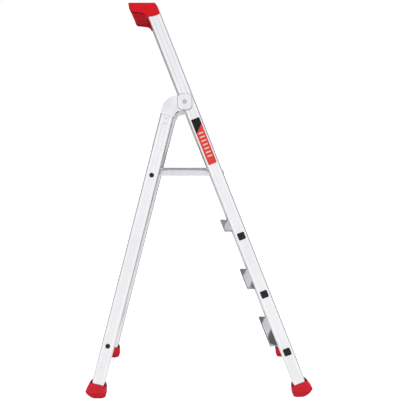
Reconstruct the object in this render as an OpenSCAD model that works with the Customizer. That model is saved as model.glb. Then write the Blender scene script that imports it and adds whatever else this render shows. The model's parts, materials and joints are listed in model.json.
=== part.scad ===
// Folding aluminium platform step ladder with a tool tray.
// X runs across the ladder, the climbing side faces -Y, the floor is z = 0.

/* [Frame] */
// Height of the hinge pins above the floor
hinge_h = 1138; // [1000:1:1250]
// Lean of the front stiles from the vertical, in degrees
front_lean = 21.6; // [19:0.1:23]
// Lean of the rear stiles from the vertical, in degrees
rear_lean = 14.6; // [13:0.1:16]
// Distance between the front stiles' middle lines at the floor
base_w = 441; // [400:1:460]
// How much closer each stile comes to the middle per unit of height
flare = 0.063; // [0.05:0.001:0.07]
// Distance of the hinge pins behind the middle of the base
hinge_y = 54.4; // [40:0.1:70]

/* [Stiles] */
// Stile section across the ladder
stile_w = 25; // [24:0.5:28]
// Stile section from front to back
stile_d = 50; // [48:0.5:54]
// Corner radius of the stile section
stile_r = 6; // [4:0.5:8]
// Wall of the stile tube
stile_wall = 1.6; // [1.2:0.1:2.4]
// Length of the front stiles along their slope, from the floor line
front_stile_top = 1593; // [1585:1:1600]

/* [Treads] */
// Vertical step from tread to tread
riser = 225; // [215:1:230]
// Height of the lowest tread tube's centre
first_tube_h = 173; // [165:0.5:185]
// Depth of a tread
tread_d = 82; // [78:1:84]
// Depth of a tread's box section
tread_box_d = 38; // [36:1:42]
// Height of a tread's box section
tread_h = 34.5; // [34:0.5:38]
// Side of the square tread tube
tube_side = 20; // [16:0.5:20]
// Side of the square end plugs
plug_side = 28.5; // [23:0.5:30]

/* [Platform] */
// Height of the platform's top
deck_h = 874.5; // [870:0.5:880]
// Thickness of the platform
deck_t = 22; // [20:0.5:24]
// Height of the bar that the platform turns on
pivot_bar_h = 857.5; // [855:0.5:860]
// Diameter of the rear bars
rear_bar_dia = 19; // [17:0.5:20]
// Diameter of the bar that the platform's arms lie on
support_bar_dia = 22; // [18:0.5:24]

/* [Hinge] */
// Distance of the hinge pins behind the middle line of the front stiles
pin_setback = 12.5; // [11:0.5:14]
// Distance of the rear stiles' middle line behind the hinge pins
arm_reach = 52.5; // [52:0.5:56]
// Radius of the hinge pins
pin_r = 5; // [4:0.5:6]
// Thickness of each cheek of a hinge arm
cheek_t = 4; // [3:0.5:5]

/* [Feet] */
// Radius of the round sole
sole_r = 55; // [50:0.5:60]
// Half of the boot's widest depth
boot_half_d = 40; // [38:0.5:41]
// Half of the boot's widest width
boot_half_w = 20; // [18:0.5:22]
// Height of the boot along the stile
boot_h = 62; // [60:1:70]

/* [Hidden] */
$fn = 64;

ALLOY = [0.80, 0.81, 0.83];
CAST = [0.68, 0.69, 0.72];
RED = [0.78, 0.10, 0.12];
BLACK = [0.05, 0.05, 0.06];
STEEL = [0.55, 0.56, 0.58];

gap = 0.3;              // between faces that pass each other
slip = 0.1;             // round a piece that sits in a hole
run = 0.07;             // round a pin or bar that something turns on
left = -1;
right = 1;

// Floor points of the stiles' middle lines, found from the hinge pins
front_y0 = hinge_y - pin_setback / cos(front_lean) - hinge_h * tan(front_lean);
rear_y0 = hinge_y + arm_reach / cos(rear_lean) + hinge_h * tan(rear_lean);

// Height of the hinge pins along each stile
pin_u_front = (hinge_y - front_y0) * sin(front_lean) + hinge_h * cos(front_lean);
pin_u_rear = (rear_y0 - hinge_y) * sin(rear_lean) + hinge_h * cos(rear_lean);

// Each pair of stiles closes in towards the top; both pairs meet in line at the pins
front_in = flare * cos(front_lean);
rear_in = flare * cos(rear_lean);
front_x0 = base_w / 2;
rear_x0 = front_x0 - front_in * pin_u_front + rear_in * pin_u_rear;
pin_x = front_x0 - front_in * pin_u_front;
half_w = stile_w / 2;
face_w = half_w / cos(atan(front_in));
function front_x(u) = front_x0 - front_in * u;
function rear_x(u) = rear_x0 - rear_in * u;

boot_floor = 18;        // stile ends start this far up the boots
tube_u = [for (i = [0 : 2]) (first_tube_h + riser * i) / cos(front_lean)];
tread_top = 19;         // top of a tread above its tube's centre
tread_front = -18;      // front edge of a tread from its tube's centre
tread_plate = 5;        // thickness of a tread behind its box
tread_wall = 1.8;
cap_t = 3;              // thickness of the tread end caps
rib_pitch = 6;

rear_bar_r = rear_bar_dia / 2;
bar_wall = 1.5;
brace_bar_h = 200;
pivot_u = pivot_bar_h / cos(rear_lean);
brace_u = brace_bar_h / cos(rear_lean);
pivot_y = rear_y0 - pivot_bar_h * tan(rear_lean);

support_r = support_bar_dia / 2;
support_h = deck_h - deck_t - support_r;
support_u = support_h / cos(front_lean);
support_y = front_y0 + support_h * tan(front_lean);

deck_front = front_y0 + deck_h * tan(front_lean) + stile_d / 2 / cos(front_lean) + 1;
deck_rear = rear_y0 - deck_h * tan(rear_lean) - stile_d / 2 / cos(rear_lean) - 1;
arm_t = 4;
arm_x = 127;            // inner face of the platform's arms
eye_r = 16;
nose_t = 12;
nose_drop = 34;
deck_wall = 1.8;
deck_cells = 6;
deck_depth = deck_rear - deck_front;
deck_cell = (deck_depth - deck_wall) / deck_cells;
port_r = 4.5;           // screw ports on the deck's inner walls
port_bore = 2.5;

cheek_gap = 1.8;        // from a front stile to a hinge arm's cheek
cheek_in = half_w + cheek_gap;
cheek_out = cheek_in + cheek_t;
plate_t = 3.2;
washer_t = 2;
head_gap = 0.8;         // under the hinge pins' heads
rivet_r = 2.5;
rivet_drops = [12, 32]; // hinge arm rivets below the collar
collar_u = -66;         // lower edge of a hinge arm below its pin
spigot_l = 45;

cap_side = half_w + 3;  // tray ends, each way from the stile's middle
tray_wall = 3;
pan_x = cap_side + 0.2 + tray_wall;     // tray's inner ends, from the stile's middle
screw_r = 2;
tray_low = 1477;
tray_rim = 1510;
tray_floor = 1481;

/* Places */
module front_place() translate([0, front_y0, 0]) rotate([-front_lean, 0, 0]) children();
module rear_place() translate([0, rear_y0, 0]) rotate([rear_lean, 0, 0]) children();
module at_pin() translate([0, hinge_y, hinge_h]) children();
// In line with a stile: x = 0 is its middle
module front_in_line() front_place() translate([front_x0, 0, 0])
    rotate([0, -atan(front_in), 0]) children();
module rear_in_line() rear_place() translate([rear_x0, 0, 0])
    rotate([0, -atan(rear_in), 0]) children();
module at_arm() rear_in_line() translate([0, -arm_reach, pin_u_rear]) children();
// Everything on the middle side of a plane beside the stile
module inward(x) translate([x - 400, -250, -50]) cube([400, 500, 1900]);
module on_side(side) mirror([side == left ? 1 : 0, 0, 0]) children();

// A drawing in Y and Z, given thickness from x0 to x1
module across(x0, x1) translate([x0, 0, 0]) rotate([90, 0, 90]) linear_extrude(x1 - x0) children();
// A round bar along X
module rod(r, x0, x1) translate([x0, 0, 0]) rotate([0, 90, 0]) cylinder(r = r, h = x1 - x0);

module round_rect(w, d, r) {
    square([w - 2 * r, d], center = true);
    square([w, d - 2 * r], center = true);
    for (sx = [-1, 1], sy = [-1, 1])
        translate([sx * (w / 2 - r), sy * (d / 2 - r)]) circle(r = r);
}

/* Stiles */
module stile_section() {
    groove_w = 2.4;
    groove_y = 9;
    band_w = 12;
    difference() {
        round_rect(stile_w, stile_d, stile_r);
        round_rect(stile_w - 2 * stile_wall, stile_d - 2 * stile_wall, stile_r - stile_wall);
        for (sx = [-1, 1]) {
            for (sy = [-1, 1])
                translate([sx * stile_w / 2, sy * groove_y]) square([1.6, groove_w], center = true);
            translate([sx * stile_w / 2, 0]) square([0.8, band_w], center = true);
        }
    }
}

module stile_tube(length) {
    translate([0, 0, boot_floor]) linear_extrude(length - boot_floor) stile_section();
}

module front_stile(side) {
    color(ALLOY) on_side(side) difference() {
        front_in_line() stile_tube(front_stile_top);
        front_place() {
            for (u = tube_u) translate([front_x(u), 0, u])
                cube([stile_w + 6, tube_side + 2 * slip, tube_side + 2 * slip], center = true);
            translate([0, pin_setback, pin_u_front])
                rod(pin_r + slip, pin_x - stile_w, pin_x + stile_w);
        }
    }
}

module rear_stile(side) {
    color(ALLOY) on_side(side) difference() {
        rear_in_line() difference() {
            stile_tube(pin_u_rear + collar_u - slip);
            for (du = rivet_drops) translate([0, 0, pin_u_rear + collar_u - du])
                rod(rivet_r + slip, -stile_w, stile_w);
        }
        rear_place() for (u = [pivot_u, brace_u]) translate([0, 0, u])
            rod(rear_bar_r + slip, rear_x(u) - stile_w, rear_x(u) + stile_w);
    }
}

/* Treads */
module at_tube(i) front_place() translate([0, 0, tube_u[i]]) rotate([front_lean, 0, 0]) children();

module tread_outline() {
    lip_r = 3.5;
    box_back = tread_front + tread_box_d;
    back = tread_front + tread_d;
    translate([tread_front + tread_box_d / 2, tread_top - tread_h / 2])
        round_rect(tread_box_d, tread_h, 4);
    translate([0, tread_top - tread_plate]) square([back - lip_r, tread_plate]);
    translate([back - lip_r, tread_top - lip_r]) circle(r = lip_r);
    polygon([[box_back - 1, -5], [box_back - 1, tread_top - 4], [box_back + 14, tread_top - 4]]);
}

module tread_section() {
    difference() {
        tread_outline();
        translate([tread_front + tread_box_d / 2, tread_top - tread_h / 2])
            round_rect(tread_box_d - 2 * tread_wall, tread_h - 2 * tread_wall, 4 - tread_wall);
        for (y = [tread_front + rib_pitch : rib_pitch : tread_front + tread_d - rib_pitch])
            translate([y, tread_top]) square([1.6, 1.4], center = true);
    }
}

function tread_end(i) = front_x((first_tube_h + riser * i + tread_top) / cos(front_lean))
    - face_w - cap_t;

module tread(i) {
    end_x = tread_end(i) - slip;
    color(ALLOY) at_tube(i) across(-end_x, end_x) tread_section();
}

module tube_square(side_len) rotate([0, 0, -front_lean]) square(side_len, center = true);

module tread_tube(i) {
    end_x = front_x(tube_u[i]) + face_w - 0.9;
    color(ALLOY) at_tube(i) across(-end_x, end_x) difference() {
        tube_square(tube_side);
        tube_square(tube_side - 2 * bar_wall);
    }
}

module tread_end_caps(side) {
    wedge = 17;
    back = tread_front + tread_d;
    color(BLACK) on_side(side) for (i = [0 : 2]) intersection() {
        at_tube(i) {
            across(tread_end(i), tread_end(i) + 10) difference() {
                tread_outline();
                tube_square(tube_side + 2 * slip);
            }
            translate([tread_end(i), back - wedge, tread_top - 1]) cube([10, wedge - 1, 2.2]);
            translate([0, 0, tread_top + 0.02]) linear_extrude(1.2)
                polygon([[tread_end(i) - wedge, back - 1], [tread_end(i) + 10, back - 1],
                    [tread_end(i) + 10, back - wedge], [tread_end(i), back - wedge]]);
        }
        front_in_line() inward(-half_w - 0.02);
    }
}

module tread_plugs(side) {
    head_t = 2.2;
    shank = tube_side - 2 * bar_wall - 2 * slip;
    color(BLACK) on_side(side) for (u = tube_u) {
        front_in_line() translate([half_w + 0.02, 0, u / cos(atan(front_in))])
            rotate([90, 0, 90]) linear_extrude(head_t) round_rect(plug_side, plug_side, 4);
        front_place() translate([front_x(u) + face_w - 5, 0, u])
            cube([12, shank, shank], center = true);
    }
}

/* Platform support */
module platform_support_bar() {
    end_x = front_x(support_u) - face_w - 0.9;
    color(ALLOY) front_place() translate([0, 0, support_u]) difference() {
        rod(support_r, -end_x, end_x);
        rod(support_r - bar_wall, -end_x - 1, end_x + 1);
    }
}

module support_bar_sockets() {
    face_x = front_x(support_u) - face_w;
    color(BLACK) for (side = [left, right]) on_side(side) intersection() {
        front_place() translate([0, 0, support_u]) difference() {
            rod(support_r + 5, face_x - 5, face_x + 5);
            rod(support_r + slip, face_x - 6, face_x + 6);
        }
        front_in_line() inward(-half_w - 0.02);
    }
}

/* Feet */
module boot_profile(lean) {
    floor_sink = 1.2;   // flat patch worn on the round sole
    centre_u = (sole_r - floor_sink) / cos(lean);
    widest_u = 22;
    shoulder_u = boot_h - 13;
    top_d = stile_d / 2 + 3;
    shoulder_d = top_d + 5;
    intersection() {
        translate([0, centre_u]) circle(r = sole_r);
        polygon([[-boot_half_d, -10], [boot_half_d, -10], [boot_half_d, widest_u],
            [shoulder_d, shoulder_u], [top_d, boot_h], [-top_d, boot_h],
            [-shoulder_d, shoulder_u], [-boot_half_d, widest_u]]);
    }
}

module boot_width() {
    top_w = half_w + 3;
    side_h = boot_h - 9;    // the collar stands higher in front of the stile and behind it
    ear_w = half_w - 1;
    polygon([[-boot_half_w + 2, -20], [boot_half_w - 2, -20], [boot_half_w - 2, 2],
        [boot_half_w, 10], [boot_half_w, 36], [top_w + 1, 48], [top_w, side_h], [ear_w, side_h],
        [ear_w, boot_h + 5], [-ear_w, boot_h + 5], [-ear_w, side_h], [-top_w, side_h],
        [-top_w - 1, 48], [-boot_half_w, 36], [-boot_half_w, 10],
        [-boot_half_w + 2, 2]]);
}

module boot_socket() {
    translate([0, 0, boot_floor - 0.02]) linear_extrude(boot_h)
        round_rect(stile_w + 0.04, stile_d + 0.04, stile_r);
}

module front_foot(side) {
    color(RED) on_side(side) intersection() {
        front_place() across(front_x0 - 60, front_x0 + 60) boot_profile(front_lean);
        front_in_line() difference() {
            translate([0, 60, 0]) rotate([90, 0, 0]) linear_extrude(120) boot_width();
            boot_socket();
        }
        translate([0, front_y0 - 100, 0]) cube([300, 200, 120]);
    }
}

module rear_foot(side) {
    color(RED) on_side(side) intersection() {
        rear_place() across(rear_x0 - 60, rear_x0 + 60) boot_profile(rear_lean);
        rear_in_line() difference() {
            translate([0, 60, 0]) rotate([90, 0, 0]) linear_extrude(120) boot_width();
            boot_socket();
        }
        translate([0, rear_y0 - 100, 0]) cube([300, 200, 120]);
    }
}

/* Tool tray */
// Side outline of a tray end, over the head of a front stile
module tray_end_outline() {
    corner_r = 9;
    translate([171, tray_rim - corner_r]) circle(r = corner_r);
    polygon([[268, tray_rim], [171, tray_rim], [162.5, 1504], [157, 1497.5], [147.6, 1470],
        [168.5, 1462], [196.5, 1456.5], [205, 1468], [214, 1472.5], [234, tray_low - 2],
        [256, tray_low], [262, 1481.5], [265, 1488]]);
}

module tray_outline() {
    polygon([[267.5, tray_rim - 0.5], [171, tray_rim - 0.5], [163, 1503], [158, 1496],
        [162, 1492], [206, 1492], [206, tray_low + 2], [209, tray_low], [254, tray_low + 1],
        [261, 1483], [264.5, 1489]]);
}

module tray_span(x) {
    length = 2 * front_x0;
    intersection() {
        across(-length / 2, length / 2) children();
        front_in_line() inward(x);
        mirror([1, 0, 0]) front_in_line() inward(x);
    }
}

module tool_tray() {
    color(RED) difference() {
        tray_span(-cap_side - 0.2) tray_outline();
        for (side = [left, right]) on_side(side) tray_screw_places()
            rod(screw_r + slip, -pan_x - 5, 0);
        tray_span(-pan_x) {
            polygon([[210, tray_floor + 2], [213, tray_floor], [252, tray_floor],
                [258, tray_floor + 4], [261, 1490], [264.3, tray_rim + 2], [210, tray_rim + 2]]);
            polygon([[165, 1490], [202, 1490], [202, tray_rim - 4], [172, tray_rim - 4],
                [166, 1502], [162, 1495.5]]);
        }
    }
}

module tray_screw_places() front_in_line() {
    translate([0, 37, 1624]) children();
    translate([0, 63, 1634]) children();
}

module tray_end(side) {
    color(RED) on_side(side) difference() {
        intersection() {
            across(100, 180) tray_end_outline();
            front_in_line() translate([-cap_side, -50, 1400]) cube([2 * cap_side, 200, 300]);
        }
        front_in_line() translate([0, 0, front_stile_top - 80]) linear_extrude(80.02)
            round_rect(stile_w + 0.04, stile_d + 0.04, stile_r);
        // hollow behind the stile, open below
        intersection() {
            across(100, 180) polygon([[213, 1460], [256, 1460], [260, 1486], [263, tray_rim - 3],
                [213, tray_rim - 3]]);
            front_in_line() translate([-cap_side + 3, -50, 1400]) cube([2 * cap_side - 6, 200, 300]);
        }
        tray_screw_places() rod(screw_r + slip, -pan_x, 0);
    }
}

module tray_screws(side) {
    color(STEEL) on_side(side) tray_screw_places() {
        rod(screw_r, -pan_x - 1, -4);
        rod(4.5, -pan_x - 2, -pan_x - 0.02);
    }
}

/* Hinges */
module hinge_plate(side) {
    color(CAST) on_side(side) difference() {
        at_arm() across(cheek_out + 0.02, cheek_out + plate_t) rotate([0, 0, -rear_lean])
            intersection() {
                circle(r = 34);
                square([56, 62], center = true);
            }
        at_pin() rod(pin_r + run, pin_x, pin_x + 50);
    }
}

module hinge_washer(side) {
    color(STEEL) on_side(side) difference() {
        at_arm() rod(16, -cheek_out - washer_t, -cheek_out - 0.02);
        at_pin() rod(pin_r + run, pin_x - 50, pin_x);
    }
}

module hinge_pin(side) {
    pin_in = pin_x - cheek_out - washer_t - head_gap;
    pin_out = pin_x + cheek_out + plate_t + head_gap;
    color(STEEL) on_side(side) at_pin() {
        rod(pin_r, pin_in - 0.5, pin_out + 0.5);
        rod(9, pin_in - 2.5, pin_in);
        rod(8, pin_out, pin_out + 2);
    }
}

// Side view of an arm about its pin: the rear stile's middle line is at y = arm_reach
module arm_outline() {
    eye = 31;
    elbow_r = 62.5;
    elbow = [15.5, -44];
    hollow = [2, -60];
    hollow_r = 23;
    collar_front = arm_reach - stile_d / 2 - 3;
    collar_back = arm_reach + stile_d / 2 + 1;
    difference() {
        union() {
            circle(r = eye);
            intersection() {
                translate(elbow) circle(r = elbow_r);
                polygon([[0, 0], [8, 40], [100, 40], [100, collar_u], [collar_front, collar_u],
                    [0, collar_u + 36]]);
            }
            translate([collar_front, collar_u]) square([collar_back - collar_front, 18]);
        }
        translate(hollow) circle(r = hollow_r);
    }
}

module arm_core_outline() {
    stile_back = stile_d / 2 - pin_setback + 1.5;
    intersection() {
        arm_outline();
        polygon([[stile_back, -90], [stile_back, -4], [stile_back + 30, 34], [120, 34],
            [120, -90]]);
    }
}

module hinge_arm(side) {
    spigot_w = stile_w - 2 * stile_wall - 3;
    spigot_d = stile_d - 2 * stile_wall - 1.5;
    color(CAST) on_side(side) difference() {
        at_arm() {
            across(-cheek_out, -cheek_in) arm_outline();
            across(cheek_in, cheek_out) arm_outline();
            across(-cheek_in - 0.01, cheek_in + 0.01) arm_core_outline();
            translate([0, arm_reach, collar_u - spigot_l]) linear_extrude(spigot_l + 1)
                round_rect(spigot_w, spigot_d, stile_r - stile_wall + 0.2);
        }
        at_pin() rod(pin_r + run, pin_x - 50, pin_x + 50);
        at_arm() translate([0, arm_reach, collar_u]) {
            translate([-6, -stile_d / 2 + 8, -spigot_l - 1])
                cube([12, stile_d - 16, spigot_l + 42]);
            for (du = rivet_drops) translate([0, 0, -du]) rod(rivet_r + slip, -50, 50);
        }
    }
}

module hinge_arm_rivets(side) {
    color(STEEL) on_side(side) rear_in_line() for (du = rivet_drops)
        translate([0, 0, pin_u_rear + collar_u - du]) {
            rod(rivet_r, -half_w - 0.5, half_w);
            rod(4, -half_w - 1.4, -half_w - 0.02);
        }
}

/* Rear bars */
module rear_bar(u) {
    end_x = rear_x(u) + face_w - 0.8;
    color(ALLOY) rear_place() translate([0, 0, u]) difference() {
        rod(rear_bar_r, -end_x, end_x);
        rod(rear_bar_r - bar_wall, -end_x - 1, end_x + 1);
    }
}

module pivot_spacers() {
    color(BLACK) for (side = [left, right]) on_side(side) intersection() {
        rear_place() translate([0, 0, pivot_u]) difference() {
            rod(13, arm_x + arm_t + gap, rear_x(pivot_u));
            rod(rear_bar_r + slip, arm_x, rear_x(pivot_u) + 1);
        }
        rear_in_line() inward(-half_w - 0.02);
    }
}

module rear_plugs(side) {
    color(BLACK) on_side(side) for (u = [pivot_u, brace_u]) {
        rear_in_line() translate([0, 0, u / cos(atan(rear_in))])
            rod(rear_bar_r - 0.5, half_w + 0.02, half_w + 2);
        rear_place() translate([rear_x(u) + face_w, 0, u])
            rod(rear_bar_r - bar_wall - slip, -12, 1);
    }
}

/* Platform */
module deck_ports() {
    for (i = [1 : 2 : deck_cells])
        translate([deck_front + deck_wall / 2 + i * deck_cell, deck_h - deck_t / 2]) children();
}

module deck_section() {
    difference() {
        union() {
            difference() {
                translate([deck_front, deck_h - deck_t]) square([deck_depth, deck_t]);
                for (i = [0 : deck_cells - 1])
                    translate([deck_front + deck_wall + i * deck_cell, deck_h - deck_t + deck_wall])
                        square([deck_cell - deck_wall, deck_t - 2 * deck_wall]);
            }
            deck_ports() circle(r = port_r);
        }
        deck_ports() circle(r = port_bore);
    }
}

module platform_deck() {
    color(ALLOY) across(-arm_x + 0.05, arm_x - 0.05) deck_section();
}

module platform_arm(side) {
    color(ALLOY) on_side(side) across(arm_x, arm_x + arm_t) difference() {
        union() {
            translate([support_y - support_r - gap - nose_t, deck_h - deck_t + gap])
                square([pivot_y - support_y + support_r + gap + nose_t - 4, deck_t - gap]);
            translate([support_y - support_r - gap - nose_t, deck_h - nose_drop])
                square([nose_t, nose_drop]);
            translate([pivot_y, pivot_bar_h]) circle(r = eye_r);
        }
        translate([pivot_y, pivot_bar_h]) circle(r = rear_bar_r + run);
        deck_ports() circle(r = port_bore + slip);
    }
}

module platform_grips() {
    pitch = 4;
    mat_d = deck_depth - 4;
    color([0.16, 0.16, 0.17]) across(-arm_x + 6, arm_x - 6)
        translate([deck_front + 2, deck_h + 0.02]) {
            square([mat_d, 0.8]);
            for (y = [1 : pitch : mat_d - 2]) translate([y, 0]) square([2, 1.6]);
        }
}

module platform_rivets(side) {
    color(STEEL) on_side(side) for (i = [1 : 2 : deck_cells])
        translate([0, deck_front + deck_wall / 2 + i * deck_cell, deck_h - deck_t / 2]) {
            rod(port_bore - slip, arm_x - 14, arm_x + arm_t + 0.5);
            rod(port_bore + 2, arm_x + arm_t + 0.02, arm_x + arm_t + 1.8);
        }
}

/* Labels */
module label(side) {
    label_w = 34;
    low_u = 970;
    high_u = 1156;
    color([0.80, 0.16, 0.12]) on_side(side) front_in_line()
        translate([half_w + 0.02, -label_w / 2, low_u]) cube([0.4, label_w, high_u - low_u]);
}

front_stile(left);  // front_stile_left
front_stile(right);  // front_stile_right
tread(0);  // tread_lower
tread(1);  // tread_middle
tread(2);  // tread_upper
tread_tube(0);  // tread_tube_lower
tread_tube(1);  // tread_tube_middle
tread_tube(2);  // tread_tube_upper
tread_end_caps(left);  // tread_end_caps_left
tread_end_caps(right);  // tread_end_caps_right
tread_plugs(left);  // tread_plugs_left
tread_plugs(right);  // tread_plugs_right
platform_support_bar();
support_bar_sockets();
front_foot(left);  // front_foot_left
front_foot(right);  // front_foot_right
tool_tray();
tray_end(left);  // tray_end_left
tray_end(right);  // tray_end_right
tray_screws(left);  // tray_screws_left
tray_screws(right);  // tray_screws_right
hinge_plate(left);  // hinge_plate_left
hinge_plate(right);  // hinge_plate_right
hinge_pin(left);  // hinge_pin_left
hinge_pin(right);  // hinge_pin_right
hinge_washer(left);  // hinge_washer_left
hinge_washer(right);  // hinge_washer_right
label(left);  // label_left
label(right);  // label_right
rear_stile(left);  // rear_stile_left
rear_stile(right);  // rear_stile_right
hinge_arm(left);  // hinge_arm_left
hinge_arm(right);  // hinge_arm_right
hinge_arm_rivets(left);  // hinge_arm_rivets_left
hinge_arm_rivets(right);  // hinge_arm_rivets_right
rear_bar(pivot_u);  // platform_pivot_bar
rear_bar(brace_u);  // rear_brace_bar
pivot_spacers();
rear_plugs(left);  // rear_plugs_left
rear_plugs(right);  // rear_plugs_right
rear_foot(left);  // rear_foot_left
rear_foot(right);  // rear_foot_right
platform_deck();
platform_arm(left);  // platform_arm_left
platform_arm(right);  // platform_arm_right
platform_grips();
platform_rivets(left);  // platform_rivets_left
platform_rivets(right);  // platform_rivets_right
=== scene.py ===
import json
import math

import bmesh
import bpy
from mathutils import Matrix, Vector


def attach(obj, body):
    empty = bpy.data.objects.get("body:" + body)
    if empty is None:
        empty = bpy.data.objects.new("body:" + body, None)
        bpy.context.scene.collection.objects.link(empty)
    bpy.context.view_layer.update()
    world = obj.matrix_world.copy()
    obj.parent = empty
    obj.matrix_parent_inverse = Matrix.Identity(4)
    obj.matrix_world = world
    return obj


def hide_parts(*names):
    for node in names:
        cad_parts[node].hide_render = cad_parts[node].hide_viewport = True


# Folding aluminium step ladder with a platform and a red tool tray.
# X runs across the ladder, the climbing side faces -Y, the floor is z = 0.

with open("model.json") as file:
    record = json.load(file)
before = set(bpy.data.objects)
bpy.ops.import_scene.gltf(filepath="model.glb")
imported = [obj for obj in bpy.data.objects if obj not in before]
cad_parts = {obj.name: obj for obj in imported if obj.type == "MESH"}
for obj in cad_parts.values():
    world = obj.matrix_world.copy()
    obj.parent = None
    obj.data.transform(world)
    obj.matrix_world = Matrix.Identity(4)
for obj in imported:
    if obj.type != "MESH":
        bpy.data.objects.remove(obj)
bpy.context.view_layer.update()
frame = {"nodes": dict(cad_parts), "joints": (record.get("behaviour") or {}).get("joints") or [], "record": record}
mm = 0.001
sides = ["left", "right"]
joints = {joint["name"]: joint for joint in frame["joints"]}
hinge = Vector(joints["rear_frame_fold"]["pos_m"])
bodyOf = {node: body for body, nodes in frame["record"]["behaviour"]["bodies"].items() for node in nodes}
print("frame loaded:", len(frame["nodes"]), "nodes")

# the two pairs of stiles, from their leans and the hinge pins
ladder = {
    "frontLean": math.radians(21.6),
    "rearLean": math.radians(14.6),
    "pinSetback": 12.5 * mm,
    "armReach": 52.5 * mm,
    "stileWidth": 25 * mm,
    "frontFloorX": 220.5 * mm,
    "flare": 0.063,
}


def stileMatrix(floorX, floorY, lean):
    # x = 0 is the middle of the right stile, y is its depth, z runs along it
    close = math.atan(ladder["flare"] * math.cos(lean))
    return (Matrix.Translation((0, floorY, 0)) @ Matrix.Rotation(lean, 4, "X")
            @ Matrix.Translation((floorX, 0, 0)) @ Matrix.Rotation(-close, 4, "Y"))


def flareAlong(length, lean):
    # how far a stile spreads sideways over this length
    return ladder["flare"] * math.cos(lean) * length


frontFloorY = (hinge.y - ladder["pinSetback"] / math.cos(ladder["frontLean"])
               - hinge.z * math.tan(ladder["frontLean"]))
rearFloorY = (hinge.y + ladder["armReach"] / math.cos(ladder["rearLean"])
              + hinge.z * math.tan(ladder["rearLean"]))
pinAlongFront = ((hinge.y - frontFloorY) * math.sin(ladder["frontLean"])
                 + hinge.z * math.cos(ladder["frontLean"]))
pinAlongRear = ((rearFloorY - hinge.y) * math.sin(ladder["rearLean"])
                + hinge.z * math.cos(ladder["rearLean"]))
rearFloorX = (ladder["frontFloorX"] - flareAlong(pinAlongFront, ladder["frontLean"])
              + flareAlong(pinAlongRear, ladder["rearLean"]))
onFront = stileMatrix(ladder["frontFloorX"], frontFloorY, -ladder["frontLean"])
onRear = stileMatrix(rearFloorX, rearFloorY, ladder["rearLean"])
faceX = ladder["stileWidth"] / 2


# node helpers for the finishes and the studio
def feed(tree, socket, value):
    # an output is linked to the socket, a number or colour is set on it
    if isinstance(value, bpy.types.NodeSocket):
        tree.links.new(value, socket)
    else:
        socket.default_value = value


def addNode(tree, kind, inputs, operation=None):
    node = tree.nodes.new("ShaderNode" + kind)
    if operation:
        node.operation = operation  # first, because it decides which inputs there are
    for name, value in inputs.items():
        feed(tree, node.inputs[name], value)
    return node


def mathNode(tree, operation, *values):
    return addNode(tree, "Math", dict(enumerate(values)), operation).outputs[0]


def productOf(tree, first, *others):
    for other in others:
        first = mathNode(tree, "MULTIPLY", first, other)
    return first


def vectorNode(tree, operation, inputs):
    return addNode(tree, "VectorMath", inputs, operation).outputs["Vector"]


def mapRange(tree, value, source=(0.0, 1.0), target=(0.0, 1.0)):
    ends = {"From Min": source[0], "From Max": source[1], "To Min": target[0], "To Max": target[1]}
    return addNode(tree, "MapRange", {"Value": value, **ends}).outputs["Result"]


def colorRamp(tree, value, stops):
    ramp = addNode(tree, "ValToRGB", {"Fac": value})
    while len(ramp.color_ramp.elements) < len(stops):
        ramp.color_ramp.elements.new(0.5)
    for element, (position, color) in zip(ramp.color_ramp.elements, stops):
        element.position = position
        element.color = (*color, 1)
    return ramp.outputs["Color"]


def coordsOf(tree, kind="Object"):
    return tree.nodes.new("ShaderNodeTexCoord").outputs[kind]


def splitOf(tree, vector):
    return addNode(tree, "SeparateXYZ", {"Vector": vector}).outputs


def stretched(tree, vector, scale):
    return addNode(tree, "Mapping", {"Vector": vector, "Scale": scale}).outputs["Vector"]


def noiseOn(tree, vector, scale, detail, roughness=0.55):
    inputs = {"Vector": vector, "Scale": scale, "Detail": detail, "Roughness": roughness}
    return addNode(tree, "TexNoise", inputs).outputs["Fac"]


def awayFrom(tree, value, place):
    # distance to either side of a place
    return mathNode(tree, "ABSOLUTE", mathNode(tree, "SUBTRACT", value, place))


# materials
cloudSpread = (0.3, 0.7)
dieLines = {"across": 420, "along": 3, "detail": 3.0, "bumpDepth": 0.1 * mm}


def newMaterial(name, color, metallic, roughness, specular=0.5):
    material = bpy.data.materials.new(name)
    material.use_nodes = True
    shader = material.node_tree.nodes["Principled BSDF"]
    shader.inputs["Specular IOR Level"].default_value = specular
    shader.inputs["Base Color"].default_value = (*color, 1)
    shader.inputs["Metallic"].default_value = metallic
    shader.inputs["Roughness"].default_value = roughness
    return material, shader


def cloudedColor(tree, vector, color, dark, scale, detail):
    # the colour drifts a little in soft patches
    cloud = noiseOn(tree, vector, scale, detail)
    tones = [[c * dark for c in color], color]
    return colorRamp(tree, cloud, list(zip(cloudSpread, tones)))


def roughGrain(tree, shader, grain, gloss, strength, depth):
    # the same grain drives the roughness and the bump
    tree.links.new(mapRange(tree, grain, target=gloss), shader.inputs["Roughness"])
    bump = addNode(tree, "Bump", {"Height": grain, "Strength": strength, "Distance": depth})
    tree.links.new(bump.outputs["Normal"], shader.inputs["Normal"])


def extrudedAlloy(name, color, strength, gloss):
    # satin anodised bar or tread: fine die lines run along it, with faint handling marks
    material, shader = newMaterial(name, color, metallic=1.0, roughness=0.3)
    tree = material.node_tree
    vector = coordsOf(tree)
    lines = stretched(tree, vector, (dieLines["along"], dieLines["across"], dieLines["across"]))
    grain = noiseOn(tree, lines, 1.0, dieLines["detail"])
    clouded = cloudedColor(tree, vector, color, dark=0.93, scale=14.0, detail=2.0)
    tree.links.new(clouded, shader.inputs["Base Color"])
    roughGrain(tree, shader, grain, gloss, strength, dieLines["bumpDepth"])
    return material


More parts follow.
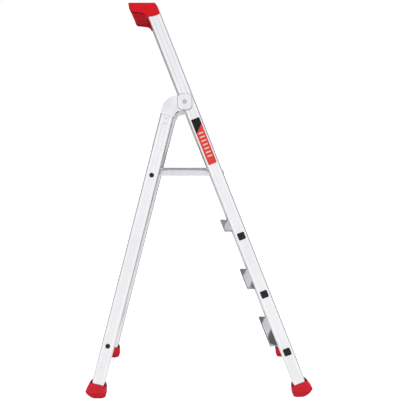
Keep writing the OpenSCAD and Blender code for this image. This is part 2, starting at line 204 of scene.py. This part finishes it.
def grainyMaterial(name, color, metallic, roughness, grain, depth, dark, specular=0.5):
    # cast metal, moulded plastic and rubber: a fine even grain
    material, shader = newMaterial(name, color, metallic, sum(roughness) / 2, specular)
    tree = material.node_tree
    vector = coordsOf(tree)
    clouded = cloudedColor(tree, vector, color, dark, scale=22.0, detail=3.0)
    tree.links.new(clouded, shader.inputs["Base Color"])
    fine = noiseOn(tree, vector, grain, detail=3.0)
    roughGrain(tree, shader, fine, roughness, strength=0.25, depth=depth)
    return material


# the stiles: each side face has two grooves and a flat band between them; the material paints shade into the
# grooves and onto the band, and a thin dark reflection line by each rim
stile = {
    "color": (0.86, 0.865, 0.875),
    "grooveAt": 9.0 * mm, "grooveHalf": 1.0 * mm, "grooveFade": 1.6,
    "band": (5.6 * mm, 6.4 * mm), "bandShade": 0.96,
    # the rim line is a painted dark reflection along each rounded edge
    "rimAt": 23.4 * mm, "rimFade": 1.7, "rimShade": 0.8,
    # painted groove shade: fainter up to the first height along the stile, stronger from the second
    "faintShadeUpTo": 0.75, "strongShadeFrom": 1.25, "faintGrooveShade": 0.92, "strongGrooveShade": 0.76,
    "dark": 0.94, "gloss": (0.22, 0.36), "bump": 0.08,
}


def stileAlloy(name, lean, floorY):
    # like the other extrusions, with painted shade as dark lines down the grooves of each side and on the middle
    # band, and painted dark reflection lines by the rims
    material, shader = newMaterial(name, stile["color"], metallic=1.0, roughness=0.3)
    tree = material.node_tree
    offset = Matrix.Rotation(-lean, 3, "X") @ Vector((0, -floorY, 0))
    turned = {"Vector": coordsOf(tree), "Rotation": (-lean, 0, 0), "Location": offset}
    inLine = addNode(tree, "Mapping", turned).outputs["Vector"]
    place = splitOf(tree, inLine)
    depth = mathNode(tree, "ABSOLUTE", place["Y"])
    # painted shade: the dark groove lines fade towards the floor, where the light shows the grooves less
    half = stile["grooveHalf"]
    grooveShadeByHeight = mapRange(tree, place["Z"], (stile["faintShadeUpTo"], stile["strongShadeFrom"]),
                    (stile["faintGrooveShade"], stile["strongGrooveShade"]))
    # painted shade: darker lines down the two grooves
    shade = mapRange(tree, awayFrom(tree, depth, stile["grooveAt"]),
                     (half, half * stile["grooveFade"]), (grooveShadeByHeight, 1.0))
    # painted shade: the recessed middle band a little darker
    band = mapRange(tree, depth, stile["band"], (stile["bandShade"], 1.0))
    # painted dark reflection: a thin line by each rounded rim
    rim = mapRange(tree, awayFrom(tree, depth, stile["rimAt"]),
                   (half, half * stile["rimFade"]), (stile["rimShade"], 1.0))
    tone = productOf(tree, shade, band, rim)
    clouded = cloudedColor(tree, inLine, stile["color"], stile["dark"], scale=9.0, detail=3.0)
    toned = vectorNode(tree, "SCALE", {0: clouded, "Scale": tone})
    tree.links.new(toned, shader.inputs["Base Color"])
    lines = stretched(tree, inLine, (dieLines["across"], dieLines["across"], dieLines["along"]))
    grain = noiseOn(tree, lines, 1.0, dieLines["detail"])
    roughGrain(tree, shader, grain, stile["gloss"], stile["bump"], dieLines["bumpDepth"])
    return material


# the boots' skin: dark upright ribs below a line round the boot; both are painted shade standing in for the relief
# of ribs and a groove
bootSkin = {
    "color": (0.62, 0.012, 0.026), "metallic": 0.0, "roughness": (0.42, 0.6),
    "grain": 1100, "depth": 0.3 * mm, "dark": 0.82, "specular": 0.2,
}
bootRibs = {
    "ribPitch": 11 * mm, "ribFrom": 0.86, "ribShade": 0.45,
    "lineAt": 17 * mm, "lineHalf": 1.6 * mm, "lineShade": 0.5,
}


def ribbedRubber(name):
    material = grainyMaterial(name, **bootSkin)
    tree = material.node_tree
    base = tree.nodes["Principled BSDF"].inputs["Base Color"]
    plain = base.links[0].from_socket
    place = splitOf(tree, coordsOf(tree))
    # painted shade: narrow dark upright stripes stand in for the ribs' relief
    wave = mathNode(tree, "SINE", productOf(tree, place["Y"], 2 * math.pi / bootRibs["ribPitch"]))
    rib = mapRange(tree, wave, (bootRibs["ribFrom"], 1.0), (1.0, bootRibs["ribShade"]))
    # painted shade: a dark line round the boot stands in for a groove
    above = mathNode(tree, "GREATER_THAN", place["Z"], bootRibs["lineAt"])
    offLine = awayFrom(tree, place["Z"], bootRibs["lineAt"])
    line = mapRange(tree, offLine, (0.0, bootRibs["lineHalf"]), (bootRibs["lineShade"], 1.0))
    tone = productOf(tree, mathNode(tree, "MAXIMUM", rib, above), line)
    tree.links.new(vectorNode(tree, "SCALE", {0: plain, "Scale": tone}), base)
    return material


finish = {
    "frontAlloy": stileAlloy("frontStileAlloy", -ladder["frontLean"], frontFloorY),
    "rearAlloy": stileAlloy("rearStileAlloy", ladder["rearLean"], rearFloorY),
    "barAlloy": extrudedAlloy("barAlloy", (0.72, 0.725, 0.74), 0.10, (0.24, 0.40)),
    "treadAlloy": extrudedAlloy("treadAlloy", (0.80, 0.805, 0.82), 0.03, (0.08, 0.14)),
    "bootRubber": ribbedRubber("bootRubber"),
}

# cast and turned metals: colour, roughness, grain per metre, bump depth
metals = {
    "castAlloy": ((0.84, 0.84, 0.85), (0.26, 0.40), 900, 0.15 * mm),
    # painted dark reflection for the rounded edges of the hinge castings
    "paintedEdgeReflection": ((0.24, 0.24, 0.25), (0.35, 0.50), 900, 0.15 * mm),
    "zincSteel": ((0.55, 0.55, 0.56), (0.25, 0.40), 600, 0.1 * mm),
}
# plastics, rubbers and films: the same, then the darkest patch and the specular level
mouldings = {
    "redPlastic": ((0.66, 0.012, 0.020), (0.42, 0.58), 1400, 0.2 * mm, 0.85, 0.03),
    # dark boot rubber, which on the boots' rounded edges is painted edge shade
    "darkRubberAndEdgeShade": ((0.12, 0.004, 0.008), (0.50, 0.70), 900, 0.2 * mm, 0.80, 0.20),
    "blackPlastic": ((0.022, 0.022, 0.024), (0.40, 0.55), 1200, 0.2 * mm, 0.80, 0.12),
    "greyPlastic": ((0.44, 0.44, 0.45), (0.40, 0.55), 1200, 0.2 * mm, 0.90, 0.20),
    "gripRubber": ((0.44, 0.44, 0.45), (0.55, 0.75), 800, 0.4 * mm, 0.85, 0.20),
    "labelRed": ((0.70, 0.050, 0.036), (0.30, 0.40), 300, 0.03 * mm, 0.95, 0.20),
    "labelBlack": ((0.008, 0.008, 0.009), (0.30, 0.40), 300, 0.03 * mm, 0.90, 0.15),
    "labelWhite": ((0.72, 0.60, 0.56), (0.30, 0.40), 300, 0.03 * mm, 0.95, 0.20),
}
for name, (color, roughness, grain, depth) in metals.items():
    finish[name] = grainyMaterial(name, color, 1.0, roughness, grain, depth, dark=0.9)
for name, (color, roughness, grain, depth, dark, specular) in mouldings.items():
    finish[name] = grainyMaterial(name, color, 0.0, roughness, grain, depth, dark, specular)
print("materials ready:", len(finish))

# which finish each CAD node takes; the longest name that fits counts
cadFinish = {
    "front_stile": "frontAlloy", "rear_stile": "rearAlloy", "hinge_arm_rivets": "zincSteel",
    "hinge_arm": "castAlloy", "hinge_plate": "castAlloy", "hinge_pin": "zincSteel",
    "hinge_washer": "zincSteel", "tread_tube": "barAlloy", "tread_end_caps": "greyPlastic",
    "tread_plugs": "blackPlastic", "tread": "treadAlloy", "platform_support_bar": "barAlloy",
    "support_bar_sockets": "blackPlastic", "front_foot": "bootRubber", "rear_foot": "bootRubber",
    "tool_tray": "redPlastic", "tray_end": "redPlastic", "tray_screws": "zincSteel",
    "label": "labelRed", "platform_pivot_bar": "barAlloy",
    "rear_brace_bar": "barAlloy", "pivot_spacers": "blackPlastic", "rear_plugs": "blackPlastic",
    "platform_grips": "gripRubber", "platform_rivets": "castAlloy", "platform": "barAlloy",
}


def finishOf(nodeName):
    kind = max((k for k in cadFinish if nodeName.startswith(k)), key=len)
    return finish[cadFinish[kind]]


for nodeName, node in frame["nodes"].items():
    node.data.materials.clear()
    node.data.materials.append(finishOf(nodeName))
print("finishes set on the frame")


# pieces that stand for CAD nodes
def madePiece(bm, name, nodeName, materials, sharpAngle=32):
    # a smooth mesh with its hard edges marked, standing for one CAD node
    for face in bm.faces:
        face.smooth = True
    for edge in bm.edges:
        if len(edge.link_faces) == 2 and edge.calc_face_angle(0) > math.radians(sharpAngle):
            edge.smooth = False
    mesh = bpy.data.meshes.new(name)
    bm.to_mesh(mesh)
    bm.free()
    for material in materials:
        mesh.materials.append(material)
    piece = bpy.data.objects.new(name, mesh)
    bpy.context.scene.collection.objects.link(piece)
    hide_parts(nodeName)
    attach(piece, bodyOf[nodeName])


def mergedCopy(nodeName, gap=0.004 * mm, flatAngle=0.6):
    bm = bmesh.new()
    bm.from_mesh(frame["nodes"][nodeName].data)
    bmesh.ops.remove_doubles(bm, verts=bm.verts, dist=gap)
    bmesh.ops.dissolve_limit(bm, angle_limit=math.radians(flatAngle), verts=bm.verts, edges=bm.edges)
    return bm


def softenEdges(bm, width, segments, angle=28, edgeSlot=-1):
    hard = [e for e in bm.edges
            if len(e.link_faces) == 2 and e.calc_face_angle(0) > math.radians(angle)]
    bmesh.ops.bevel(bm, geom=hard, offset=width, offset_type="OFFSET", affect="EDGES",
                    segments=segments, profile=0.5, material=edgeSlot, clamp_overlap=True)


# moulded, cast and turned parts: the CAD shape with its edges rounded off (radius in mm, segments)
softened = {
    "hinge_arm": (2.6, 3), "hinge_plate": (2.2, 3), "hinge_washer": (0.4, 1),
    "tray_end": (1.6, 3), "tool_tray": (0.8, 2), "tray_screws": (0.6, 2),
    "hinge_arm_rivets": (0.5, 2), "platform_rivets": (0.6, 2), "platform_arm": (0.7, 2),
    "tread_plugs": (0.8, 2), "rear_plugs": (0.8, 3), "tread_end_caps": (0.3, 1),
    "support_bar_sockets": (0.8, 2), "pivot_spacers": (0.6, 2),
}
# the rounded edges of these castings take a painted dark reflection
reflectionEdgedCastings = ["hinge_arm", "hinge_plate"]  # castings whose rounded edges look darker
for kind, (width, segments) in softened.items():
    for nodeName in [kind, kind + "_left", kind + "_right"]:
        if nodeName not in frame["nodes"]:
            continue
        shell = mergedCopy(nodeName)
        # their bevelled faces take the painted dark reflection
        edges = [finish["paintedEdgeReflection"]] if kind in reflectionEdgedCastings else []
        softenEdges(shell, width * mm, segments, edgeSlot=1 if edges else -1)
        madePiece(shell, "soft_" + nodeName, nodeName, [finishOf(nodeName)] + edges)
print("softened pieces:", len(softened), "kinds")


# boots: rounded, with a dark rim round the collar and a dark sole; the dark rubber on their rounded edges is
# painted edge shade
boot = {
    "edge": 3.0 * mm, "edgeSegments": 3, "edgeAngle": 24,
    "rimFrom": 54 * mm, "rimWall": 1 * mm, "soleTilt": 0.75,
}


def makeBoot(nodeName, inLine):
    shell = mergedCopy(nodeName)
    # painted edge shade: the rounded edges take the dark rubber
    softenEdges(shell, boot["edge"], boot["edgeSegments"], boot["edgeAngle"], edgeSlot=1)
    toStile = inLine.inverted()
    for face in shell.faces:
        middle = face.calc_center_median()
        middle.x = abs(middle.x)
        local = toStile @ middle
        inRim = local.z > boot["rimFrom"] and abs(local.x) < faceX + boot["rimWall"]
        if inRim or face.normal.z < -boot["soleTilt"]:
            face.material_index = 1
    madePiece(shell, "boot_" + nodeName, nodeName, [finish["bootRubber"], finish["darkRubberAndEdgeShade"]])


for side in sides:
    makeBoot("front_foot_" + side, onFront)
    makeBoot("rear_foot_" + side, onRear)
print("boots ready")

# hinge pins: rounded heads with a driver recess in the outer one
pinHead = {
    "edge": 0.7 * mm, "edgeSegments": 3,
    "rim": 3.6 * mm, "recessWall": 0.5 * mm, "recessDepth": 1.1 * mm,
}


def makeHingePin(side):
    shell = mergedCopy("hinge_pin_" + side)
    softenEdges(shell, pinHead["edge"], pinHead["edgeSegments"])
    outer = max(shell.faces, key=lambda f: (abs(f.calc_center_median().x), f.calc_area()))
    bmesh.ops.inset_region(shell, faces=[outer], thickness=pinHead["rim"])
    bmesh.ops.inset_region(shell, faces=[outer], thickness=pinHead["recessWall"],
                           depth=-pinHead["recessDepth"])
    madePiece(shell, "turned_hinge_pin_" + side, "hinge_pin_" + side, [finish["zincSteel"]])


for side in sides:
    makeHingePin(side)
print("hinge pins ready")

# labels: rounded film with a dark head on a slant, and a row of pale bars
label = {
    "low": 970 * mm, "high": 1156 * mm, "width": 34 * mm, "corner": 4 * mm,
    "lift": 0.02 * mm, "film": 0.3 * mm,
    "headFront": 1130 * mm, "headBack": 1098 * mm, "headWidth": 0.985, "headStand": 0.05 * mm,
    "bars": 7, "barPitch": 15.5 * mm, "barLow": 1094 * mm, "barHigh": 1099 * mm,
    "barFront": -10 * mm, "barBack": 9 * mm, "barStand": 0.09 * mm,
}


def filmPatch(bm, corners, low, high, slot, corner=0.0, cornerSegments=4):
    # a flat patch in the stile's own frame, given thickness
    verts = [bm.verts.new((low, y, z)) for y, z in corners]
    face = bm.faces.new(verts)
    if corner > 0:
        cut = bmesh.ops.bevel(bm, geom=verts, offset=corner, affect="VERTICES",
                              segments=cornerSegments, profile=0.5, material=-1)
        face = max((f for v in cut["verts"] for f in v.link_faces), key=lambda f: f.calc_area())
    pulled = bmesh.ops.extrude_face_region(bm, geom=[face], use_keep_orig=True)
    moved = [v for v in pulled["geom"] if isinstance(v, bmesh.types.BMVert)]
    bmesh.ops.translate(bm, verts=moved, vec=(high - low, 0, 0))
    wallsAndTop = {f for v in moved for f in v.link_faces}
    for f in wallsAndTop | {face}:
        f.material_index = slot


def makeLabel(side):
    bm = bmesh.new()
    half = label["width"] / 2
    base = faceX + label["lift"]
    top = base + label["film"]
    inside = base + label["film"] * 0.5  # the head and the bars are rooted in the film
    outline = [(-half, label["low"]), (half, label["low"]), (half, label["high"]), (-half, label["high"])]
    filmPatch(bm, outline, base, top, 0, label["corner"])
    half *= label["headWidth"]
    head = [(-half, label["headFront"]), (half, label["headBack"]), (half, label["high"]),
            (-half, label["high"])]
    filmPatch(bm, head, inside, top + label["headStand"], 1)
    front, back = label["barFront"], label["barBack"]
    for i in range(label["bars"]):
        low = label["barLow"] - i * label["barPitch"]
        high = label["barHigh"] - i * label["barPitch"]
        bar = [(front, low), (back, low), (back, high), (front, high)]
        filmPatch(bm, bar, inside, top + label["barStand"], 2)
    bmesh.ops.transform(bm, matrix=onFront, verts=bm.verts)
    if side == "left":
        bmesh.ops.scale(bm, vec=(-1, 1, 1), verts=bm.verts)
    bmesh.ops.recalc_face_normals(bm, faces=bm.faces)
    madePiece(bm, "film_label_" + side, "label_" + side,
              [finish["labelRed"], finish["labelBlack"], finish["labelWhite"]])


for side in sides:
    makeLabel(side)
print("labels ready")

# the studio: floor, sky, lamps and camera; a sky stop is a place and a grey
studio = {
    "floorSize": 400.0, "floorDrop": 0.5 * mm, "floorGrey": 0.62,
    "floorGlow": 0.75, "floorGloss": 0.34, "floorNear": 0.8, "floorBeyond": 0.9,
    "sky": 1.36, "skyBlue": 1.01,
    "skyEnds": [(0.25, 1.0), (0.75, 0.42)],
    "skyHeights": [(0.40, 0.85), (0.50, 1.0), (0.64, 0.71), (0.85, 0.95)],
    "farFrom": (0.6, 0.85),
    "farSide": [(0.50, 0.15), (0.54, 0.40), (0.565, 0.26), (0.62, 0.18), (0.64, 0.20),
                (0.668, 0.07), (0.86, 0.7)],
    "cameraDistance": 2.441, "cameraY": 0.0354, "cameraHeight": 0.973,
    "lookDown": 0.0929, "lookAside": 0.0172, "lens": 53.15, "sensor": 36,
    "lampAim": (0, 0, 0.8),
}
lamps = {
    "keyLight": {"place": (-3.2, -1.6, 3.0), "size": (2.2, 2.2), "power": 60},
    "fillLight": {"place": (2.5, 2.0, 3.0), "size": (2.5, 2.5), "power": 40},
}
white = (1, 1, 1, 1)


def makeFloor():
    # a wide pale floor that takes the soft shadow; it glows to the camera and, less, in reflections
    bm = bmesh.new()
    bmesh.ops.create_grid(bm, x_segments=1, y_segments=1, size=studio["floorSize"] / 2)
    mesh = bpy.data.meshes.new("floor")
    bm.to_mesh(mesh)
    bm.free()
    floor = bpy.data.objects.new("floor", mesh)
    bpy.context.scene.collection.objects.link(floor)
    floor.location.z = -studio["floorDrop"]
    grey = studio["floorGrey"]
    material, shader = newMaterial("paleFloor", (grey, grey, grey), 0.0, roughness=0.7, specular=0.1)
    tree = material.node_tree
    path = tree.nodes.new("ShaderNodeLightPath").outputs
    # in reflections the floor is bright in front of the ladder and dark beyond it
    across = splitOf(tree, coordsOf(tree))["X"]
    near = mapRange(tree, across, (0.0, studio["floorNear"]), (1.0, 0.0))
    beyond = mathNode(tree, "SUBTRACT", 1.0, near)
    mirrored = path["Is Glossy Ray"]
    hidden = productOf(tree, beyond, mirrored, studio["floorBeyond"])
    tone = productOf(tree, mathNode(tree, "SUBTRACT", 1.0, hidden), grey)
    toEye = productOf(tree, path["Is Camera Ray"], studio["floorGlow"])
    toGloss = productOf(tree, mirrored, studio["floorGloss"], near)
    tree.links.new(tone, shader.inputs["Base Color"])
    shader.inputs["Emission Color"].default_value = white
    tree.links.new(mathNode(tree, "ADD", toEye, toGloss), shader.inputs["Emission Strength"])
    mesh.materials.append(material)


def skyRamp(tree, value, stops):
    blue = studio["skyBlue"]
    return colorRamp(tree, value, [(place, (grey, grey, grey * blue)) for place, grey in stops])


def makeSky():
    # white to the camera; for light and gloss it is brightest near eye level beside the
    # ladder, softer overhead and dim to the two ends, which gives metal its dark edges
    world = bpy.data.worlds.new("studioSky")
    bpy.context.scene.world = world
    world.use_nodes = True
    tree = world.node_tree
    tree.nodes.clear()
    toward = splitOf(tree, coordsOf(tree, "Generated"))
    ends = skyRamp(tree, mathNode(tree, "ABSOLUTE", toward["Y"]), studio["skyEnds"])
    height = mapRange(tree, toward["Z"], (-1.0, 1.0))
    upward = skyRamp(tree, height, studio["skyHeights"])
    # a dim patch low behind the ladder, which the treads reflect
    beyond = mapRange(tree, toward["X"], studio["farFrom"])
    patch = skyRamp(tree, height, studio["farSide"])
    patched = addNode(tree, "MixRGB", {"Fac": beyond, "Color1": white, "Color2": patch})
    level = vectorNode(tree, "MULTIPLY", {0: upward, 1: patched.outputs["Color"]})
    both = vectorNode(tree, "MULTIPLY", {0: ends, 1: level})
    lit = addNode(tree, "Background", {"Color": both, "Strength": studio["sky"]})
    seen = addNode(tree, "Background", {"Color": white})
    path = tree.nodes.new("ShaderNodeLightPath").outputs
    shaders = {"Fac": path["Is Camera Ray"], 1: lit.outputs[0], 2: seen.outputs[0]}
    mix = addNode(tree, "MixShader", shaders)
    addNode(tree, "OutputWorld", {"Surface": mix.outputs[0]})


def makeLamp(name, place, size, power):
    lamp = bpy.data.lights.new(name, "AREA")
    lamp.shape = "RECTANGLE"
    lamp.size, lamp.size_y = size
    lamp.energy = power
    holder = bpy.data.objects.new(name, lamp)
    bpy.context.scene.collection.objects.link(holder)
    holder.location = place
    holder.visible_glossy = False
    aim = Vector(studio["lampAim"]) - Vector(place)
    holder.rotation_euler = aim.to_track_quat("-Z", "Y").to_euler()


def makeCamera():
    camera = bpy.data.objects.new("camera", bpy.data.cameras.new("camera"))
    bpy.context.scene.collection.objects.link(camera)
    camera.location = (-studio["cameraDistance"], studio["cameraY"], studio["cameraHeight"])
    quarter = math.pi / 2
    camera.rotation_euler = (quarter - studio["lookDown"], 0, -quarter - studio["lookAside"])
    camera.data.lens = studio["lens"]
    camera.data.sensor_width = studio["sensor"]
    bpy.context.scene.camera = camera


makeFloor()
makeSky()
for name, lamp in lamps.items():
    makeLamp(name, **lamp)
makeCamera()
bpy.context.scene.view_settings.view_transform = "Standard"
print("studio ready")
